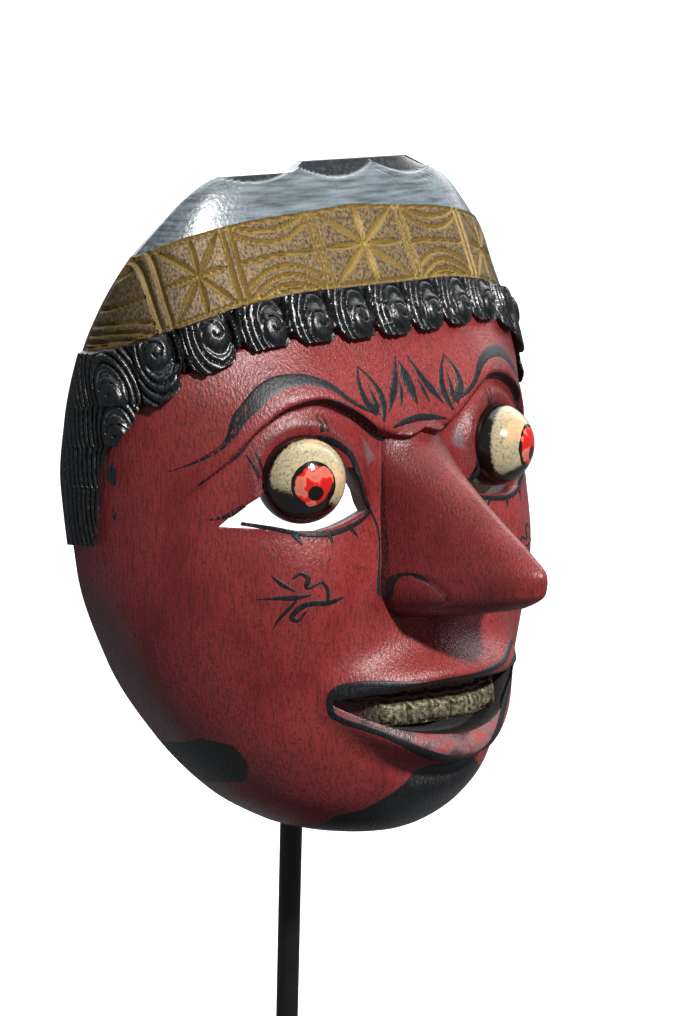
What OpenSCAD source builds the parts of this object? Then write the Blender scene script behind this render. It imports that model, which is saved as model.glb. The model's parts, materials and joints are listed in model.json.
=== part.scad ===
// Carved wooden dance mask held on an adjustable table stand.
// Millimetres, +Z up. The origin is under the middle of the stand, on the
// table, and the mask faces -Y.

/* [Mask] */
// Half the mask's width at the eyes
mask_half_w = 81; // [74:0.5:88]
// Thickness of the carved wall
wall = 9; // [7:0.5:10]
// Lean of the mask, backwards from upright, in degrees
lean = 8; // [4:1:11]
// Height of the mask's middle above the table
mask_z = 258; // [250:1:280]
// Set-back of the mask's middle behind the post
mask_y = 8; // [4:0.5:12]
// Radius of an eyeball
eye_r = 12.3; // [11:0.1:13]
// Depth of the carved hair, headband and cap layers
layer = 3.5; // [3:0.1:4]

/* [Carrier] */
// Drop from the mask's middle to the tilt pivot
pivot_drop = 51; // [48:1:54]
// Distance from the pivot to the back of the bracket plate
lug_reach = 14.7; // [14:0.1:16]
// Half length of the wooden cross batten
batten_half = 45; // [40:0.5:46]
// Height of the batten
batten_h = 18; // [14:1:20]
// Thickness of the batten
batten_t = 12; // [10:0.5:13]
// Radius of the pivot bolt
bolt_r = 2; // [1.5:0.1:2.5]

/* [Stand] */
// Side of the square base plate
base_w = 150; // [130:5:180]
// Thickness of the base plate
base_t = 8; // [6:1:10]
// Thickness of the felt under the base
felt_t = 2; // [1:0.5:3]
// Radius of the post
post_r = 3.5; // [3:0.25:4]
// Outer radius of the support tube
tube_r = 6; // [5.5:0.25:7]
// Height of the tube's top above the table
tube_top = 70; // [66:1:76]
// Height of the post's lower end above the table
post_foot = 38; // [36:1:40]

/* [Hidden] */
$fn = 48;

running = 0.05;      // radial clearance of a moving fit
touch = 0.05;        // gap left between faces that slide on each other
wood_red = "firebrick";
steel_black = "#26262a";

// The mask's own frame: x right, y back, z up, with the middle of the
// rim plane at zero. "Forward" is -y. Each table holds height and value.
half_width = [
    [-103, 6], [-100, 22], [-94, 34], [-84, 47], [-66, 61], [-42, 73],
    [-15, 80], [10, 81], [28, 80], [45, 77], [58, 72], [70, 66], [80, 57],
    [88, 47], [94, 32]
];
rim_forward = [
    [-103, 22], [-94, 17], [-84, 13], [-66, 8], [-42, 4], [-15, 3], [10, 3],
    [28, 6], [45, 10], [58, 14], [70, 20], [80, 25], [94, 30]
];
front_forward = [
    [-103, 38], [-100, 47], [-94, 54], [-84, 59], [-66, 61], [-42, 61],
    [-15, 59], [10, 59], [28, 58], [45, 53], [58, 48], [70, 43], [80, 39],
    [88, 36], [94, 33]
];
// Height of the carved brow line over the distance from the middle
brow_line = [[0, 18], [6, 15.5], [19, 21.5], [35, 31], [50, 24], [66, 9], [75, -2]];
// Lower edge of the hair, and both edges of the headband, over that distance
hair_line = [[0, 45], [30, 45.5], [42, 45.5], [55, 42], [63, 39], [72, 31], [77, 22], [80, 8], [81, -12]];
band_low = [[0, 58], [25, 58], [45, 56], [61, 52], [72, 48.4], [81, 45]];
band_top = [[0, 81], [14, 80], [35, 78.6], [54, 75.6], [63, 72.6], [71, 67.4], [81, 60]];

squareness = 2.2;    // exponent of the rounded cross-section
z_low = half_width[0][0];
z_high = half_width[len(half_width) - 1][0];
half_height = 98;
wide = mask_half_w / 81;
eye_x = 35.3;
eye_f = 55.6;
eye_z = 7.9;
peg_r = 2.5;
peg_len = 17;
peg_tilt = 8;
outer_cols = 39;
outer_rows = 42;
inner_cols = 23;
inner_rows = 26;
slimmest = 1;        // least half width of a shrunk outline

// Smooth curve through a table that never overshoots its points
function steep(t, i) = (t[i + 1][1] - t[i][1]) / (t[i + 1][0] - t[i][0]);
function slope(t, i) =
    i == 0 ? steep(t, 0) :
    i == len(t) - 1 ? steep(t, i - 1) :
    let (a = steep(t, i - 1), b = steep(t, i)) a * b <= 0 ? 0 : 2 * a * b / (a + b);
function cell(t, x, i = 0) = (i >= len(t) - 2 || x < t[i + 1][0]) ? i : cell(t, x, i + 1);
function curve(t, x) =
    let (
        v = min(max(x, t[0][0]), t[len(t) - 1][0]),
        i = cell(t, v),
        h = t[i + 1][0] - t[i][0],
        u = (v - t[i][0]) / h
    )
    (2 * u ^ 3 - 3 * u ^ 2 + 1) * t[i][1] + (u ^ 3 - 2 * u ^ 2 + u) * h * slope(t, i)
    + (3 * u ^ 2 - 2 * u ^ 3) * t[i + 1][1] + (u ^ 3 - u ^ 2) * h * slope(t, i + 1);
function ease(a, b, x) = let (t = min(max((x - a) / (b - a), 0), 1)) t * t * (3 - 2 * t);
function hump(d, w) = exp(-(d / w) ^ 2);

// Broad bulges that the inside follows too: muzzle and cheekbones
function bulge(x, z) = 9 * hump(x, 31) * hump(z + 57, 22)
    + 8 * hump(abs(x) - 42, 22) * hump(z + 20, 22);
// Carving on the outside only: chin, lips and brow
function carving(x, z) =
    let (
        ax = abs(x),
        taper = max(1 - (ax / 40) ^ 4, 0),
        upper = -50 - 0.0015 * ax ^ 2,
        lower = -76 + 16 * (ax / 36) ^ 2,
        over = z - curve(brow_line, ax)
    )
    4 * hump(x, 20) * hump(z + 86, 9)
    + 3.5 * hump(z - upper, 4) * taper
    + 4.5 * hump(z - lower, 5.5) * taper
    + (1 - ease(52, 74, ax)) * 3 * hump(over - 4, 12);
// The eyelid: a shell of wood that stands round the eyeball
function lid(x, z) =
    let (s = (eye_r + 3) ^ 2 - (abs(x) - eye_x) ^ 2 - (z - eye_z - 1.5) ^ 2)
    s > 0 ? eye_f - 3 + sqrt(s) : -99;
function blend(a, b, k) = let (h = min(max(0.5 + 0.5 * (b - a) / k, 0), 1)) a * (1 - h) + b * h + k * h * (1 - h);

// Forward distance of the outside at x and height z, without and with carving
function plain(x, z, grow = 0) =
    let (
        w = max(curve(half_width, z) + grow, slimmest) * wide,
        rim = curve(rim_forward, z * (1 + grow / half_height)),
        k = max(1 - (abs(x) / w) ^ squareness, 0) ^ (1 / squareness)
    )
    rim + (curve(front_forward, z) + grow - rim) * k;
function carved(x, z) =
    let (edge = 1 - (abs(x) / (curve(half_width, z) * wide)) ^ 4)
    blend(plain(x, z) + (bulge(x, z) + carving(x, z)) * max(edge, 0), lid(x, z), 4);

// Height t of the way up, and x at t of the way round from rim to rim
function row_z(t) = z_low + (z_high - z_low) * (t + 0.5 - 0.5 * cos(180 * t)) / 2;
function col_x(z, t, grow) =
    let (a = 180 * t - 90, w = max(curve(half_width, z) + grow, slimmest) * wide)
    w * sign(sin(a)) * abs(sin(a)) ^ (2 / squareness);
// Steps from 0 to 1, and back from 1 to 0
function steps(n) = [for (i = [0:n - 1]) i / (n - 1)];
function steps_back(n) = [for (i = [n - 1:-1:0]) i / (n - 1)];

// A solid made of stacked outlines, all with the same number of points
module stack(outlines) {
    n = len(outlines[0]);
    m = len(outlines);
    sides = [
        for (i = [0:m - 2], j = [0:n - 1])
            let (k = (j + 1) % n)
            each [
                [i * n + j, i * n + k, (i + 1) * n + k],
                [i * n + j, (i + 1) * n + k, (i + 1) * n + j]
            ]
    ];
    low = [for (j = [n - 1:-1:0]) j];
    high = [for (j = [0:n - 1]) (m - 1) * n + j];
    polyhedron([for (o = outlines) each o], concat(sides, [high, low]), convexity = 6);
}

// The whole head form with its carving, as one lump of wood
module face_block() {
    stack([
        for (v = steps(outer_rows)) let (z = row_z(v))
        [for (u = steps_back(outer_cols)) let (x = col_x(z, u, 0)) [x, -carved(x, z), z]]
    ]);
}
// The same form, plain, grown or shrunk, with its back moved out by tail
module form(grow, tail = 0) {
    stack([
        for (v = steps(outer_rows))
        let (
            z = row_z(v),
            zg = z * (1 + grow / half_height),
            back = tail - curve(rim_forward, zg)
        )
        concat(
            [[col_x(z, 1, grow), back, zg]],
            [for (u = steps_back(outer_cols)) let (x = col_x(z, u, grow)) [x, -plain(x, z, grow), zg]],
            [[col_x(z, 0, grow), back, zg]]
        )
    ]);
}
// What is carved out of the back
module hollow() {
    stack([
        for (v = steps(inner_rows)) let (z = row_z(v), zi = z * (1 - wall / half_height))
        concat(
            [[col_x(z, 1, -wall), 40, zi]],
            [for (u = steps_back(inner_cols)) let (x = col_x(z, u, -wall))
                [x, -plain(x, z, -wall) - bulge(x, z) * max(1 - (x / 70) ^ 2, 0), zi]],
            [[col_x(z, 0, -wall), 40, zi]]
        )
    ]);
}
// A front-view outline made into a prism through the mask
module prism(outline) {
    translate([0, 60, 0])
    rotate([90, 0, 0])
    linear_extrude(200)
    polygon(outline);
}
// The front-view area between two edge curves, mirrored about the middle
module between(low, high) {
    xs = [for (i = [-21:21]) i * 4.2];
    prism(concat(
        [for (x = xs) [x, curve(low, abs(x))]],
        [for (i = [len(xs) - 1:-1:0]) [xs[i], curve(high, abs(xs[i]))]]
    ));
}
sky = [[0, 130], [100, 130]];
core_tail = 20;
back_skin = 0.01;    // keeps the rim points apart from the last outline points
// A carved layer on the forehead, down to the wood below it
module dressing(low, high, proud) {
    resize([0, 0, 0])
    difference() {
        intersection() {
            form(proud, back_skin);
            between(low, high);
        }
        form(-layer, core_tail);
    }
}

// The mask's own frame, put in its place on the stand
module on_mask() {
    translate([0, mask_y, mask_z])
    rotate([-lean, 0, 0])
    children();
}
// The pivot in the mask's frame
pivot_y = -mask_y * cos(lean) + pivot_drop * sin(lean);
pivot_z = -mask_y * sin(lean) - pivot_drop * cos(lean);
pivot_top = mask_z - pivot_drop;
module on_pivot() {
    on_mask()
    translate([0, pivot_y, pivot_z])
    children();
}
// Along +X from x = a to b
module bar_x(r, a, b) {
    translate([a, 0, 0])
    rotate([0, 90, 0])
    cylinder(r = r, h = b - a);
}
// Along -Y, forwards, from y = a to b, with a greater than b
module bar_y(r, a, b, r2 = -1) {
    translate([0, a, 0])
    rotate([90, 0, 0])
    cylinder(r1 = r, r2 = r2 < 0 ? r : r2, h = a - b);
}

/* Mask */
eye_outline = [
    [-61, -0.5], [-53, 4.5], [-47, 9], [-25, 9.5], [-20, 1], [-18, -3.5], [-23, -4.8],
    [-30, -6.2], [-37, -6.8], [-45, -5.4], [-53, -3.2]
];
mouth_outline = concat(
    [for (x = [-38:4:38]) [x, -54.5 + 1.2 * cos(x * 2.3)]],
    [for (x = [36:-4:-36]) [x, -69 + 14 * (x / 38) ^ 2]]
);
module mask_shell() {
    color(wood_red)
    on_mask()
    resize([0, 0, 0])
    difference() {
        face_block();
        hollow();
        difference() {
            between(hair_line, sky);
            form(-layer, core_tail);
        }
        prism(mouth_outline);
        for (s = [-1, 1]) {
            scale([s, 1, 1]) {
                prism(eye_outline);
                eye_place() eyeball();
                nostril();
            }
        }
    }
}
module nostril() {
    translate([-9.5, -96, -46])
    rotate([-64, 0, 0])
    cylinder(r = 3.4, h = 62, $fn = 16);
}

nose_rows = [
    // height, forward of the face, half width
    [19, 1, 6], [15, 4, 11], [8, 11, 13], [0, 21, 14], [-9, 32, 15.5], [-17, 41, 17],
    [-22, 45, 18.5], [-27, 44, 19.5], [-31, 36, 18.5], [-34, 20, 14]
];
nose_steps = 16;
module nose_block() {
    stack([
        for (r = [len(nose_rows) - 1:-1:0]) let (n = nose_rows[r])
        concat(
            [for (j = [nose_steps:-1:-nose_steps])
                let (u = j / nose_steps, x = n[2] * u)
                [x, -carved(x, n[0]) - n[1] * (1 - abs(u) ^ 1.9) ^ 0.75, n[0]]],
            [for (j = [-nose_steps:2:nose_steps])
                let (x = n[2] * j / nose_steps) [x, 5 - carved(x, n[0]), n[0]]]
        )
    ]);
}
module nose() {
    color(wood_red)
    on_mask()
    resize([0, 0, 0])
    difference() {
        nose_block();
        face_block();
        for (s = [-1, 1])
            scale([s, 1, 1]) nostril();
    }
}

module eye_place() {
    translate([-eye_x, -eye_f, eye_z])
    children();
}
module eyeball() {
    sphere(r = eye_r);
    rotate([-peg_tilt, 0, 0])
    cylinder(r = peg_r, h = peg_len);
}
module eyeball_left() {
    color("ivory")
    on_mask()
    mirror([1, 0, 0])
    eye_place()
    eyeball();
}
module eyeball_right() {
    color("ivory")
    on_mask()
    eye_place()
    eyeball();
}

teeth_half = 30;
teeth_low = -63.5;
teeth_high = -50;
function teeth_f(x) = 66 - 0.012 * x ^ 2;
module upper_teeth() {
    color("darkkhaki")
    on_mask()
    resize([0, 0, 0])
    difference() {
        translate([0, 0, teeth_low])
        linear_extrude(teeth_high - teeth_low)
        polygon(concat(
            [for (x = [-teeth_half:3:teeth_half]) [x, -teeth_f(x)]],
            [for (x = [teeth_half:-3:-teeth_half]) [x, 4.5 - teeth_f(x)]]
        ));
        difference() {
            face_block();
            hollow();
            prism(mouth_outline);
        }
    }
}

module headband() {
    color("darkgoldenrod")
    on_mask()
    dressing(band_low, band_top, 0.5);
}
module hair_fringe() {
    color("#202226")
    on_mask()
    dressing(hair_line, band_low, 2);
}
module cap() {
    color("slategray")
    on_mask()
    dressing(band_top, sky, 0);
}

/* Inside of the mask */
plate_t = 2.5;
plate_w = 34;
plate_h = 16;
lug_t = 5;
lug_r = 6;
washer_t = 0.5;
plate_back = -lug_reach;
batten_back = plate_back - plate_t;
batten_front = batten_back - batten_t;
screw_x = 12;
screw_r = 1.6;
end_screw_x = batten_half - 5;
block_t = 10;

module cross_batten() {
    color("burlywood")
    on_pivot()
    difference() {
        translate([-batten_half, batten_front, -batten_h / 2])
        cube([2 * batten_half, batten_t, batten_h]);
        for (s = [-1, 1]) {
            translate([s * screw_x, 0, 0])
            bar_y(screw_r, 0, batten_back - 9);
            translate([s * end_screw_x, 0, 0]) {
                bar_y(screw_r, 0, batten_front - 1);
                bar_y(3.2, batten_back, batten_back - 2, screw_r);
            }
        }
    }
}
// A glue block cut to the curve of the wall, right-hand side
module batten_block() {
    difference() {
        resize([0, 0, 0])
        intersection() {
            translate([0, -pivot_y, -pivot_z])
            hollow();
            translate([end_screw_x - 9, batten_front - block_t, -batten_h / 2 + 1])
            cube([40, block_t, batten_h - 2]);
        }
        translate([end_screw_x, 0, 0])
        bar_y(screw_r, batten_front + 1, batten_front - 6);
    }
}
module batten_block_left() {
    color("burlywood")
    on_pivot()
    batten_block();
}
module batten_block_right() {
    color("burlywood")
    on_pivot()
    mirror([1, 0, 0])
    batten_block();
}
module batten_screws() {
    color("silver")
    on_pivot()
    for (s = [-1, 1]) {
        translate([s * end_screw_x, 0, 0]) {
            bar_y(screw_r, batten_back - 1, batten_front - 6);
            bar_y(3.2, batten_back, batten_back - 2, screw_r);
        }
    }
}

module tilt_bracket() {
    color(steel_black)
    on_pivot()
    difference() {
        union() {
            translate([-plate_w / 2, batten_back, -plate_h / 2])
            cube([plate_w, plate_t, plate_h]);
            translate([-lug_t / 2, plate_back, -lug_r])
            cube([lug_t, lug_reach, 2 * lug_r]);
            bar_x(lug_r, -lug_t / 2, lug_t / 2);
        }
        bar_x(bolt_r + running, -10, 10);
        for (s = [-1, 1]) {
            translate([s * screw_x, 0, 0])
            bar_y(screw_r, 0, batten_back - 1);
        }
    }
}
module bracket_screws() {
    color("silver")
    on_pivot()
    for (s = [-1, 1]) {
        translate([s * screw_x, 0, 0]) {
            bar_y(screw_r, plate_back, batten_back - 9);
            difference() {
                bar_y(2, plate_back + 2, plate_back, 3.2);
                translate([-0.4, plate_back + 1, -4])
                cube([0.8, 2, 8]);
            }
        }
    }
}

strap_half = 34;
strap_low = -79;
strap_high = -65;
strap_t = 2.4;
function strap_f(x) = 36 + 9 * (x / strap_half) ^ 2;
module bite_strap() {
    color("saddlebrown")
    on_mask()
    resize([0, 0, 0])
    intersection() {
        hollow();
        translate([0, 0, strap_low])
        linear_extrude(strap_high - strap_low)
        polygon(concat(
            [for (x = [-40:4:40]) [x, -strap_f(x)]],
            [for (x = [40:-4:-40]) [x, strap_t - strap_f(x)]]
        ));
    }
}
module strap_tacks() {
    color("darkgoldenrod")
    on_mask()
    for (s = [-1, 1], z = [-75.5, -68.5]) {
        translate([s * 31, strap_t - strap_f(31), z])
        rotate([0, 0, s * 26])
        intersection() {
            translate([0, -1.6, 0])
            sphere(r = 2.9);
            bar_y(2.9, 2, 0);
        }
    }
}

/* Stand */
base_top = felt_t + base_t;
post_top = pivot_top - 16;
head_r = 6.5;
head_low = pivot_top - 28;
head_high = pivot_top - 14;
ear_in = lug_t / 2 + washer_t;
ear_out = ear_in + 4.5;
ear_r = 6.5;
groove_z = pivot_top - 22;
clamp_z = tube_top - 7;
foot_screw_r = 3;

module felt_pad() {
    color("#303030")
    translate([-base_w / 2 + 2, -base_w / 2 + 2, 0])
    cube([base_w - 4, base_w - 4, felt_t]);
}
module base_plate() {
    color(steel_black)
    difference() {
        translate([-base_w / 2, -base_w / 2, felt_t])
        cube([base_w, base_w, base_t]);
        for (a = [0:90:270]) {
            rotate([0, 0, a])
            translate([base_w / 2, 0, base_top])
            rotate([0, 45, 0])
            cube([2, base_w + 2, 2], center = true);
        }
        translate([0, 0, felt_t - 1])
        cylinder(r = foot_screw_r, h = base_t + 2);
        translate([0, 0, felt_t])
        cylinder(r1 = 6, r2 = foot_screw_r, h = 3);
    }
}
module base_screw() {
    color("silver")
    difference() {
        union() {
            translate([0, 0, felt_t])
            cylinder(r = foot_screw_r, h = base_t + 9);
            translate([0, 0, felt_t])
            cylinder(r1 = 6, r2 = foot_screw_r, h = 3);
        }
        translate([0, 0, felt_t - 1])
        cylinder(r = 2.3, h = 3, $fn = 6);
    }
}
module support_tube() {
    color(steel_black)
    difference() {
        translate([0, 0, base_top])
        cylinder(r = tube_r, h = tube_top - base_top);
        translate([0, 0, base_top - 1])
        cylinder(r = foot_screw_r, h = 10);
        translate([0, 0, 24])
        cylinder(r = post_r + running, h = tube_top);
        translate([0, 0, clamp_z])
        bar_x(bolt_r + running, 0, 10);
    }
}
module lock_collar() {
    color(steel_black)
    difference() {
        union() {
            translate([0, 0, clamp_z - 6])
            cylinder(r = 11, h = 12);
            translate([0, 0, clamp_z])
            bar_x(5, 0, 14);
        }
        translate([0, 0, clamp_z - 7])
        cylinder(r = tube_r, h = 14);
        translate([0, 0, clamp_z])
        bar_x(bolt_r + running, 0, 20);
    }
}
module clamp_tip() {
    color("gold")
    translate([0, 0, clamp_z])
    bar_x(bolt_r - 0.1, post_r + touch, post_r + 1.6);
}
module thumb_screw() {
    color(steel_black)
    translate([0, 0, clamp_z]) {
        bar_x(bolt_r, post_r + 1.6, 18);
        bar_x(4, 15.5, 18);
        difference() {
            bar_x(8, 18, 26);
            for (a = [0:20:340]) {
                rotate([a, 0, 0])
                translate([0, 0, 8.3])
                bar_x(0.7, 17, 27, $fn = 16);
            }
        }
    }
}
module post() {
    color(steel_black)
    difference() {
        translate([0, 0, post_foot])
        cylinder(r = post_r, h = post_top - post_foot);
        translate([0, 0, groove_z - 1.6])
        difference() {
            cylinder(r = post_r + 1, h = 3.2);
            translate([0, 0, -1])
            cylinder(r = post_r - 0.8, h = 6);
        }
    }
}
module swivel_head() {
    color(steel_black)
    difference() {
        union() {
            translate([0, 0, head_low])
            cylinder(r = head_r, h = head_high - head_low);
            for (s = [-1, 1])
                scale([s, 1, 1]) ear();
        }
        translate([0, 0, head_low - 1])
        cylinder(r = post_r + running, h = post_top + touch - head_low + 1);
        translate([0, 0, groove_z])
        bar_y(1.5, 10, 0);
        translate([0, 0, pivot_top])
        bar_x(bolt_r + running, -20, 20);
    }
}
module ear() {
    translate([0, 0, pivot_top])
    bar_x(ear_r, ear_in, ear_out);
    translate([ear_in, -5, head_high - 2])
    cube([ear_out - ear_in, 10, pivot_top - head_high + 2]);
    translate([0, -5, head_high - 3])
    cube([ear_out, 10, 3]);
}
module swivel_set_screw() {
    color("silver")
    translate([0, 0, groove_z])
    difference() {
        bar_y(1.5, head_r - 0.5, post_r - 0.7);
        bar_y(0.8, head_r, head_r - 2, $fn = 6);
    }
}
module pivot_bolt() {
    color("silver")
    translate([0, 0, pivot_top])
    difference() {
        union() {
            bar_x(bolt_r, -ear_out, 17);
            bar_x(3.6, -ear_out - 4, -ear_out);
        }
        bar_x(1.6, -ear_out - 5, -ear_out - 2, $fn = 6);
    }
}
module friction_washers() {
    color("white")
    translate([0, 0, pivot_top])
    for (s = [-1, 1]) {
        scale([s, 1, 1])
        difference() {
            bar_x(5.5, lug_t / 2 + touch, ear_in);
            bar_x(bolt_r, 0, 10);
        }
    }
}
module wing_nut() {
    color("silver")
    translate([0, 0, pivot_top])
    difference() {
        union() {
            bar_x(4.5, ear_out + touch, ear_out + 5.5);
            for (s = [-1, 1]) {
                translate([ear_out + 5, 0, s * 7])
                bar_y(4, 1, -1);
                translate([ear_out + 1, -1, s * 5 - 2])
                cube([4, 2, 4]);
            }
        }
        bar_x(bolt_r + running, 0, 30);
    }
}

felt_pad();
base_plate();
base_screw();
support_tube();
lock_collar();
clamp_tip();
thumb_screw();
post();
swivel_head();
swivel_set_screw();
pivot_bolt();
friction_washers();
wing_nut();
tilt_bracket();
bracket_screws();
cross_batten();
batten_block_left();
batten_block_right();
batten_screws();
bite_strap();
strap_tacks();
mask_shell();
nose();
eyeball_left();
eyeball_right();
upper_teeth();
headband();
hair_fringe();
cap();
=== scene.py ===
"""Looks of a carved wooden dance mask that hangs on an adjustable table stand."""

import json
import math

import bmesh
import bpy
import numpy as np
from mathutils import Matrix, Vector


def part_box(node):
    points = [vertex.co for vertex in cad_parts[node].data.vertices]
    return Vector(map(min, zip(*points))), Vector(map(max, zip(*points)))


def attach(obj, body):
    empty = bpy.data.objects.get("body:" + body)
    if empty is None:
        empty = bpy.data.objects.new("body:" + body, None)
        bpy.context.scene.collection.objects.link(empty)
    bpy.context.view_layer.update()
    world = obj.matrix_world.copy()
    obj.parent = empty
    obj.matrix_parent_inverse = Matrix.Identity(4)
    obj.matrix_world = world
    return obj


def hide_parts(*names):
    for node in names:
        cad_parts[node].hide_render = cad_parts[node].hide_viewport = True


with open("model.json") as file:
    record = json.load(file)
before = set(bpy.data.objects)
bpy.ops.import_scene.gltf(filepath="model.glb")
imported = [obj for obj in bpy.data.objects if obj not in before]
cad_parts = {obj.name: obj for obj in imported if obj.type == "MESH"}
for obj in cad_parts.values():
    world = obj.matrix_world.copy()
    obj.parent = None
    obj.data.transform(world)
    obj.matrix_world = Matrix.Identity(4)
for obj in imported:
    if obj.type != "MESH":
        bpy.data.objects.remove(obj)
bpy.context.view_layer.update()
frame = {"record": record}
MM = 0.001

# The mask has its own frame, in mm: x to the mask's left, y back, z up, with zero in the middle of its rim.
# "Forward" is -y. MASK_SEAT turns that frame into the stand's, in metres.
LEAN = math.radians(8)
MASK_MIDDLE = Vector((0, 8, 258))
MASK_SEAT = Matrix.Translation(MASK_MIDDLE * MM) @ Matrix.Rotation(-LEAN, 4, "X") @ Matrix.Scale(MM, 4)


# ---------------------------------------------------------------- camera and light
def make_camera():
    """Looks at the mask from its right, a little above, as a long lens sees it."""
    turn, rise, roll = (math.radians(degrees) for degrees in (-43, 14, -1.5))
    distance, aside, above = 690, 17.4, -9.1
    back = Vector((math.sin(turn) * math.cos(rise), -math.cos(turn) * math.cos(rise), math.sin(rise)))
    right = Vector((math.cos(turn), math.sin(turn), 0))
    up = back.cross(right)
    right, up = (
        math.cos(roll) * right - math.sin(roll) * up,
        math.sin(roll) * right + math.cos(roll) * up,
    )
    place = MASK_MIDDLE + distance * back + aside * right + above * up
    lens = bpy.data.cameras.new("camera")
    lens.lens = 50
    lens.sensor_width = 22.3
    lens.clip_start = 0.02
    camera = bpy.data.objects.new("camera", lens)
    camera.matrix_world = Matrix.Translation(place * MM) @ Matrix((right, up, back)).transposed().to_4x4()
    bpy.context.scene.collection.objects.link(camera)
    bpy.context.scene.camera = camera


def make_lamp(name, place, size, power, colour=(1, 1, 1)):
    """A square soft lamp that shines at the mask."""
    lamp = bpy.data.lights.new(name, "AREA")
    lamp.size = size
    lamp.energy = power
    lamp.color = colour
    holder = bpy.data.objects.new(name, lamp)
    aim = MASK_MIDDLE * MM
    holder.location = place
    holder.rotation_euler = (aim - Vector(place)).to_track_quat("-Z", "Y").to_euler()
    bpy.context.scene.collection.objects.link(holder)


def make_studio():
    """A pale table under its own big lamp, a key lamp high in front, a weak one at the side and a dim room.

    The table throws no light back on the mask, so that the shadows under the nose and chin stay deep.
    """
    bpy.ops.mesh.primitive_plane_add(size=120, location=(0, 0, 0))
    floor = bpy.context.object
    floor.name = "studio_floor"
    floor.data.materials.append(pale_paper())
    floor.visible_diffuse = False
    floor.visible_glossy = False
    make_lamp("key_lamp", (-0.15, -1.25, 1.35), 0.12, 50, (1, 0.985, 0.96))
    make_lamp("rim_lamp", (1.1, -0.2, 0.9), 0.4, 6, (0.95, 0.98, 1))
    make_lamp("table_lamp", (11.5, 11.5, 5), 24, 5200)
    bpy.data.objects["rim_lamp"].visible_glossy = False
    bpy.data.objects["table_lamp"].rotation_euler = (0, 0, 0)
    world = bpy.data.worlds.new("room")
    bpy.context.scene.world = world
    world.use_nodes = True
    sky = world.node_tree.nodes["Background"]
    sky.inputs["Color"].default_value = (0.93, 0.96, 1, 1)
    sky.inputs["Strength"].default_value = 0.27
    bpy.context.scene.view_settings.view_transform = "Standard"


# ---------------------------------------------------------------- shape of the carved head
# In mm. HALF_WIDTH, RIM and FRONT hold (height, value): half the width, and how far forward the rim
# and the middle of the front stand.
HALF_WIDTH = [
    (-103.8, 1), (-103, 6), (-100, 22), (-94, 34), (-84, 47), (-66, 61), (-42, 73), (-15, 80), (10, 81),
    (28, 80), (45, 77), (58, 72), (70, 66), (80, 57), (88, 47), (94, 32),
]
RIM = [
    (-103.8, 29), (-103, 22), (-94, 17), (-84, 13), (-66, 8), (-42, 4), (-15, 3), (10, 3), (28, 6),
    (45, 10), (58, 14), (70, 20), (80, 25), (94, 30),
]
FRONT = [
    (-103.8, 31), (-103, 38), (-100, 47), (-94, 54), (-84, 59), (-66, 61), (-42, 61), (-15, 59), (10, 59),
    (28, 58), (45, 53), (58, 48), (70, 43), (80, 39), (88, 36), (94, 33),
]
# Lines across the front hold (distance from the middle, height).
BROW_LINE = [
    (0, 17), (6, 15.5), (14, 18), (24, 24.5), (34, 28.6), (42, 27.5), (50, 23), (60, 13), (68, 5), (75, -2),
]
HAIR_LINE = [
    (0, 45), (30, 45.5), (42, 45.5), (55, 42), (63, 39), (71, 33), (75, 28.5), (78.5, 25.5), (80.2, 22),
    (80.7, 10), (81, -6),
]
BAND_LOW = [(0, 58), (25, 58), (45, 56), (61, 52), (72, 48.4), (81, 45)]
BAND_TOP = [(0, 81), (14, 80), (35, 78.6), (54, 75.6), (63, 72.6), (71, 67.4), (81, 60)]
SKY = [(0, 130), (100, 130)]  # well above the mask
SQUARENESS = 2.2
WALL = 9
LAYER = 3.5  # depth of the hair, the headband and the cap
HALF_HEIGHT = 98
# Middles of the balls, with x as the distance from the mask's middle. The right one sits further out.
EYE = Vector((35.3, -55.6, 7.9))
RIGHT_EYE = Vector((38.9, -53.8, 7.7))
EYE_R = 12.3


def cubic(u, a, b, slope_a, slope_b):
    """The smooth way from a at u = 0 to b at u = 1, with a slope at each end."""
    return (
        (2 * u**3 - 3 * u**2 + 1) * a + (u**3 - 2 * u**2 + u) * slope_a
        + (3 * u**2 - 2 * u**3) * b + (u**3 - u**2) * slope_b
    )


def curve(points, at):
    """Smooth curve through a table that never overshoots its points."""
    xs, ys = np.array(points, float).T
    step = np.diff(xs)
    rise = np.diff(ys) / step
    both = rise[:-1] * rise[1:]
    inner = np.where(both > 0, 2 * both / np.where(both > 0, rise[:-1] + rise[1:], 1), 0)
    slope = np.concatenate(([rise[0]], inner, [rise[-1]]))
    at = np.clip(at, xs[0], xs[-1])
    i = np.clip(np.searchsorted(xs, at, side="right") - 1, 0, len(step) - 1)
    u = (at - xs[i]) / step[i]
    return cubic(u, ys[i], ys[i + 1], step[i] * slope[i], step[i] * slope[i + 1])


def ease(a, b, x):
    """Rises smoothly from 0 at a to 1 at b."""
    t = np.clip((x - a) / (b - a), 0, 1)
    return t * t * (3 - 2 * t)


def hump(d, width):
    """A smooth bump, 1 high at d = 0."""
    return np.exp(-(d / width) ** 2)


def groove(d, width):
    """1 in the middle of a V cut, 0 at its edges and beyond."""
    return np.maximum(1 - np.abs(d) / width, 0)


def plain(x, z, grow=0):
    """Forward distance of the uncarved head form."""
    w = np.maximum(curve(HALF_WIDTH, z) + grow, 1)
    rim = curve(RIM, z * (1 + grow / HALF_HEIGHT))
    k = np.clip(1 - (np.abs(x) / w) ** SQUARENESS, 0, 1) ** (1 / SQUARENESS)
    return rim + (curve(FRONT, z) + grow - rim) * k


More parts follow.
